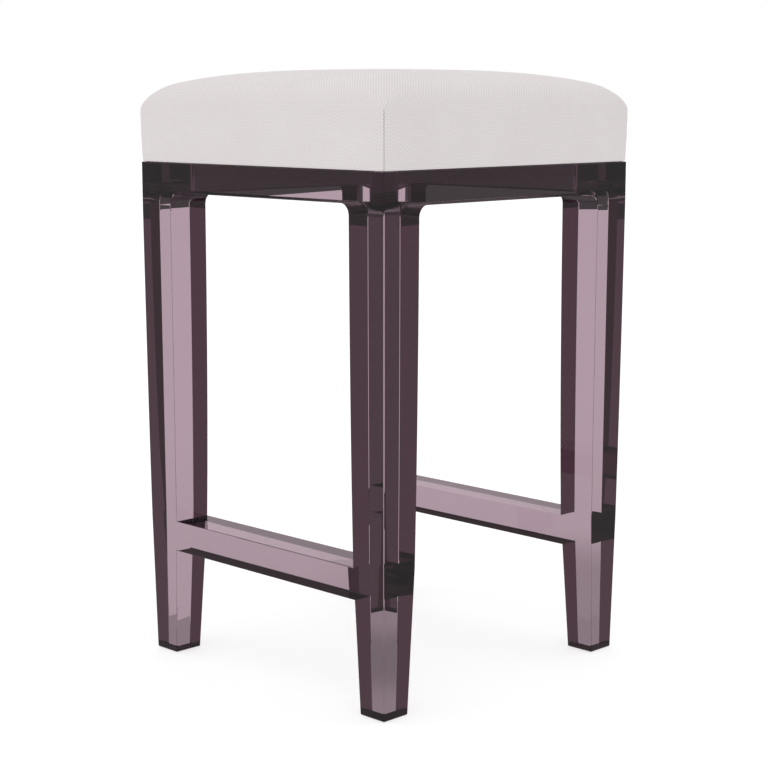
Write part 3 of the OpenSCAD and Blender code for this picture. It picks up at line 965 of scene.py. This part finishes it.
# %% Foam cells
CELL = 1.5 * MM
foam, tree, shader = new_material("open-cell polyurethane foam, cream", Roughness=1.0)
place = add(tree, "TexCoord").outputs["Object"]
pores = add(tree, "TexVoronoi", {"Vector": place, "Scale": 1 / CELL})
tone = add(tree, "Mix", {"Factor": pores, 6: linear("#D9C88F"), 7: linear("#F3E8BF")}, data_type="RGBA")
bump = add(tree, "Bump", {"Height": pores, "Strength": 0.7, "Distance": 0.5 * MM})
feed(tree, shader, Base_Color=tone, Normal=bump)
dress(seat_foam, foam)
print("foam:", len(tree.nodes), "nodes")

# %% [markdown]
# The seat board is raw birch plywood, peeled, glued crosswise and sanded. Its faces show a long pale
# grain, and its edges the plies, light and dark in turn. A noise that is stretched along the grain
# draws the faces, and a wave over the height draws the plies. The face's normal tells which one shows.

# %% Seat board
GRAIN_LONG, GRAIN_WIDE = 40 * MM, 2 * MM
PLY = 1.5 * MM
PLY_BLEND = 0.2
plywood, tree, shader = new_material("raw birch plywood", Roughness=0.62)
place = add(tree, "TexCoord").outputs["Object"]
grain = add(tree, "Mapping", {"Vector": place, "Scale": (1 / GRAIN_LONG, 1 / GRAIN_WIDE, 1 / GRAIN_WIDE)})
grain = add(tree, "TexNoise", {"Vector": grain, "Scale": 1.0, "Detail": 5.0, "Distortion": 0.4})
plies = add(tree, "SeparateXYZ", {0: place})
plies = add(tree, "Math", {0: plies.outputs["Z"], 1: math.pi / PLY}, operation="MULTIPLY")
plies = add(tree, "Math", {0: plies}, operation="SINE")
plies = add(tree, "MapRange", {"Value": plies, "From Min": -PLY_BLEND, "From Max": PLY_BLEND})
face_tone = add(tree, "Mix", {"Factor": grain, 6: linear("#C9A878"), 7: linear("#E6CDA3")}, data_type="RGBA")
ply_tone = add(tree, "Mix", {"Factor": plies, 6: linear("#B08C5C"), 7: linear("#D9BC8E")}, data_type="RGBA")
facing = add(tree, "NewGeometry")
facing = add(tree, "SeparateXYZ", {0: facing.outputs["Normal"]})
flat = add(tree, "Math", {0: facing.outputs["Z"]}, operation="ABSOLUTE")
flat = add(tree, "Math", {0: flat, 1: 0.5}, operation="GREATER_THAN")
tone = add(tree, "Mix", {"Factor": flat, 6: ply_tone, 7: face_tone}, data_type="RGBA")
bump = add(tree, "Bump", {"Height": grain, "Strength": 0.3, "Distance": 0.1 * MM})
feed(tree, shader, Base_Color=tone, Normal=bump)
dress(nodes["seat_board"], plywood)
print("plywood:", len(tree.nodes), "nodes")

# %% [markdown]
# The dust cover is a sheet of thin black cloth between the seat and the frame. In the CAD model it is a
# plain solid. Here it is a sheet of its own, laid as a grid that puckers very slightly. It is stretched
# flat and clamped all over, so a simulation would leave it as it is.

# %% Dust sheet
DUST_T = 0.15 * MM
DUST_LIFT = 0.15 * MM
DUST_CELLS = 90
PUCKER = 0.04 * MM
PUCKER_X, PUCKER_Y = 7 * MM, 9 * MM
low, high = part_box("dust_cover")
bm = bmesh.new()
bmesh.ops.create_grid(bm, x_segments=DUST_CELLS, y_segments=DUST_CELLS, size=high.x)
for v in bm.verts:
    ripple = math.sin(v.co.x / PUCKER_X) * math.sin(v.co.y / PUCKER_Y + 1)
    v.co.z = low.z + DUST_LIFT + PUCKER * ripple
mesh = to_mesh(bm, "dust_sheet")
for polygon in mesh.polygons:
    polygon.use_smooth = True
dust_sheet = new_object("dust_sheet", mesh)
thick = dust_sheet.modifiers.new("cloth thickness", "SOLIDIFY")
thick.thickness = DUST_T
thick.offset = 0
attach(dust_sheet, "root")
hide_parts("dust_cover")
print("dust sheet:", len(mesh.polygons), "faces")

# %% [markdown]
# Dust cloth is non-woven polypropylene, which is short fibres laid in a web and bonded at a grid of hot
# points. It looks matt and black, with a fine dimple at each point. A Voronoi pattern with little
# randomness gives such a grid. Its dimples are 1.6 mm apart.

# %% Dust cloth
DIMPLE = 1.6 * MM
dust_cloth, tree, shader = new_material("black non-woven polypropylene", Roughness=0.95, Sheen_Weight=0.1)
place = add(tree, "TexCoord").outputs["Object"]
dimples = add(tree, "TexVoronoi", {"Vector": place, "Scale": 1 / DIMPLE, "Randomness": 0.15})
tone = add(tree, "Mix", {"Factor": dimples, 6: linear("#161516"), 7: linear("#2A292A")}, data_type="RGBA")
bump = add(tree, "Bump", {"Height": dimples, "Strength": 0.5, "Distance": 0.2 * MM})
feed(tree, shader, Base_Color=tone, Normal=bump)
dress(dust_sheet, dust_cloth)
print("dust cloth:", len(tree.nodes), "nodes")

# %% [markdown]
# The locating board drops inside the apron ring and keeps the seat from sliding. Its CAD solid has the
# right shape, so it stays and gets a material. It is painted a matt grey, with the faint stipple that a
# foam roller leaves. Seen through a tinted apron, in the shade inside the ring, it is nearly black.

# %% Paint of the locating board
STIPPLE = 1.2 * MM
paint, tree, shader = new_material("rolled matt paint on board, grey", Roughness=0.7)
place = add(tree, "TexCoord").outputs["Object"]
stipple = add(tree, "TexNoise", {"Vector": place, "Scale": 1 / STIPPLE, "Detail": 2.0})
tone = add(tree, "Mix", {"Factor": stipple, 6: linear("#8A8787"), 7: linear("#969393")}, data_type="RGBA")
bump = add(tree, "Bump", {"Height": stipple, "Strength": 0.3, "Distance": 0.1 * MM})
feed(tree, shader, Base_Color=tone, Normal=bump)
dress(nodes["locating_board"], paint)
print("board paint:", len(tree.nodes), "nodes")

# %% [markdown]
# Screws and staples are steel with a thin coat of zinc from a plating bath. It gives them a cool grey
# metal look, slightly cloudy, with patches that shine a little more or less.

# %% Zinc of the screws and staples
CLOUD = 1.5 * MM
zinc, tree, shader = new_material("zinc plated steel", Metallic=1.0)
place = add(tree, "TexCoord").outputs["Object"]
clouds = add(tree, "TexNoise", {"Vector": place, "Scale": 1 / CLOUD, "Detail": 4.0})
tone = add(tree, "Mix", {"Factor": clouds, 6: linear("#A9AAAC"), 7: linear("#C8C9CB")}, data_type="RGBA")
rough = add(tree, "MapRange", {"Value": clouds, "To Min": 0.25, "To Max": 0.45})
feed(tree, shader, Base_Color=tone, Roughness=rough)
for name in ("locating_screws", "staples"):
    dress(nodes[name], zinc)
print("zinc:", len(tree.nodes), "nodes")

# %% [markdown]
# The visual model is meant to stay inside the CAD model's box, apart from a little that cloth may stand
# proud. This cell measures the visual model's box and prints it in millimetres.

# %% Measure the visual model's box
low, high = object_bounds()
print("visual box in mm:", [round(v / MM, 1) for v in (*low, *high)])
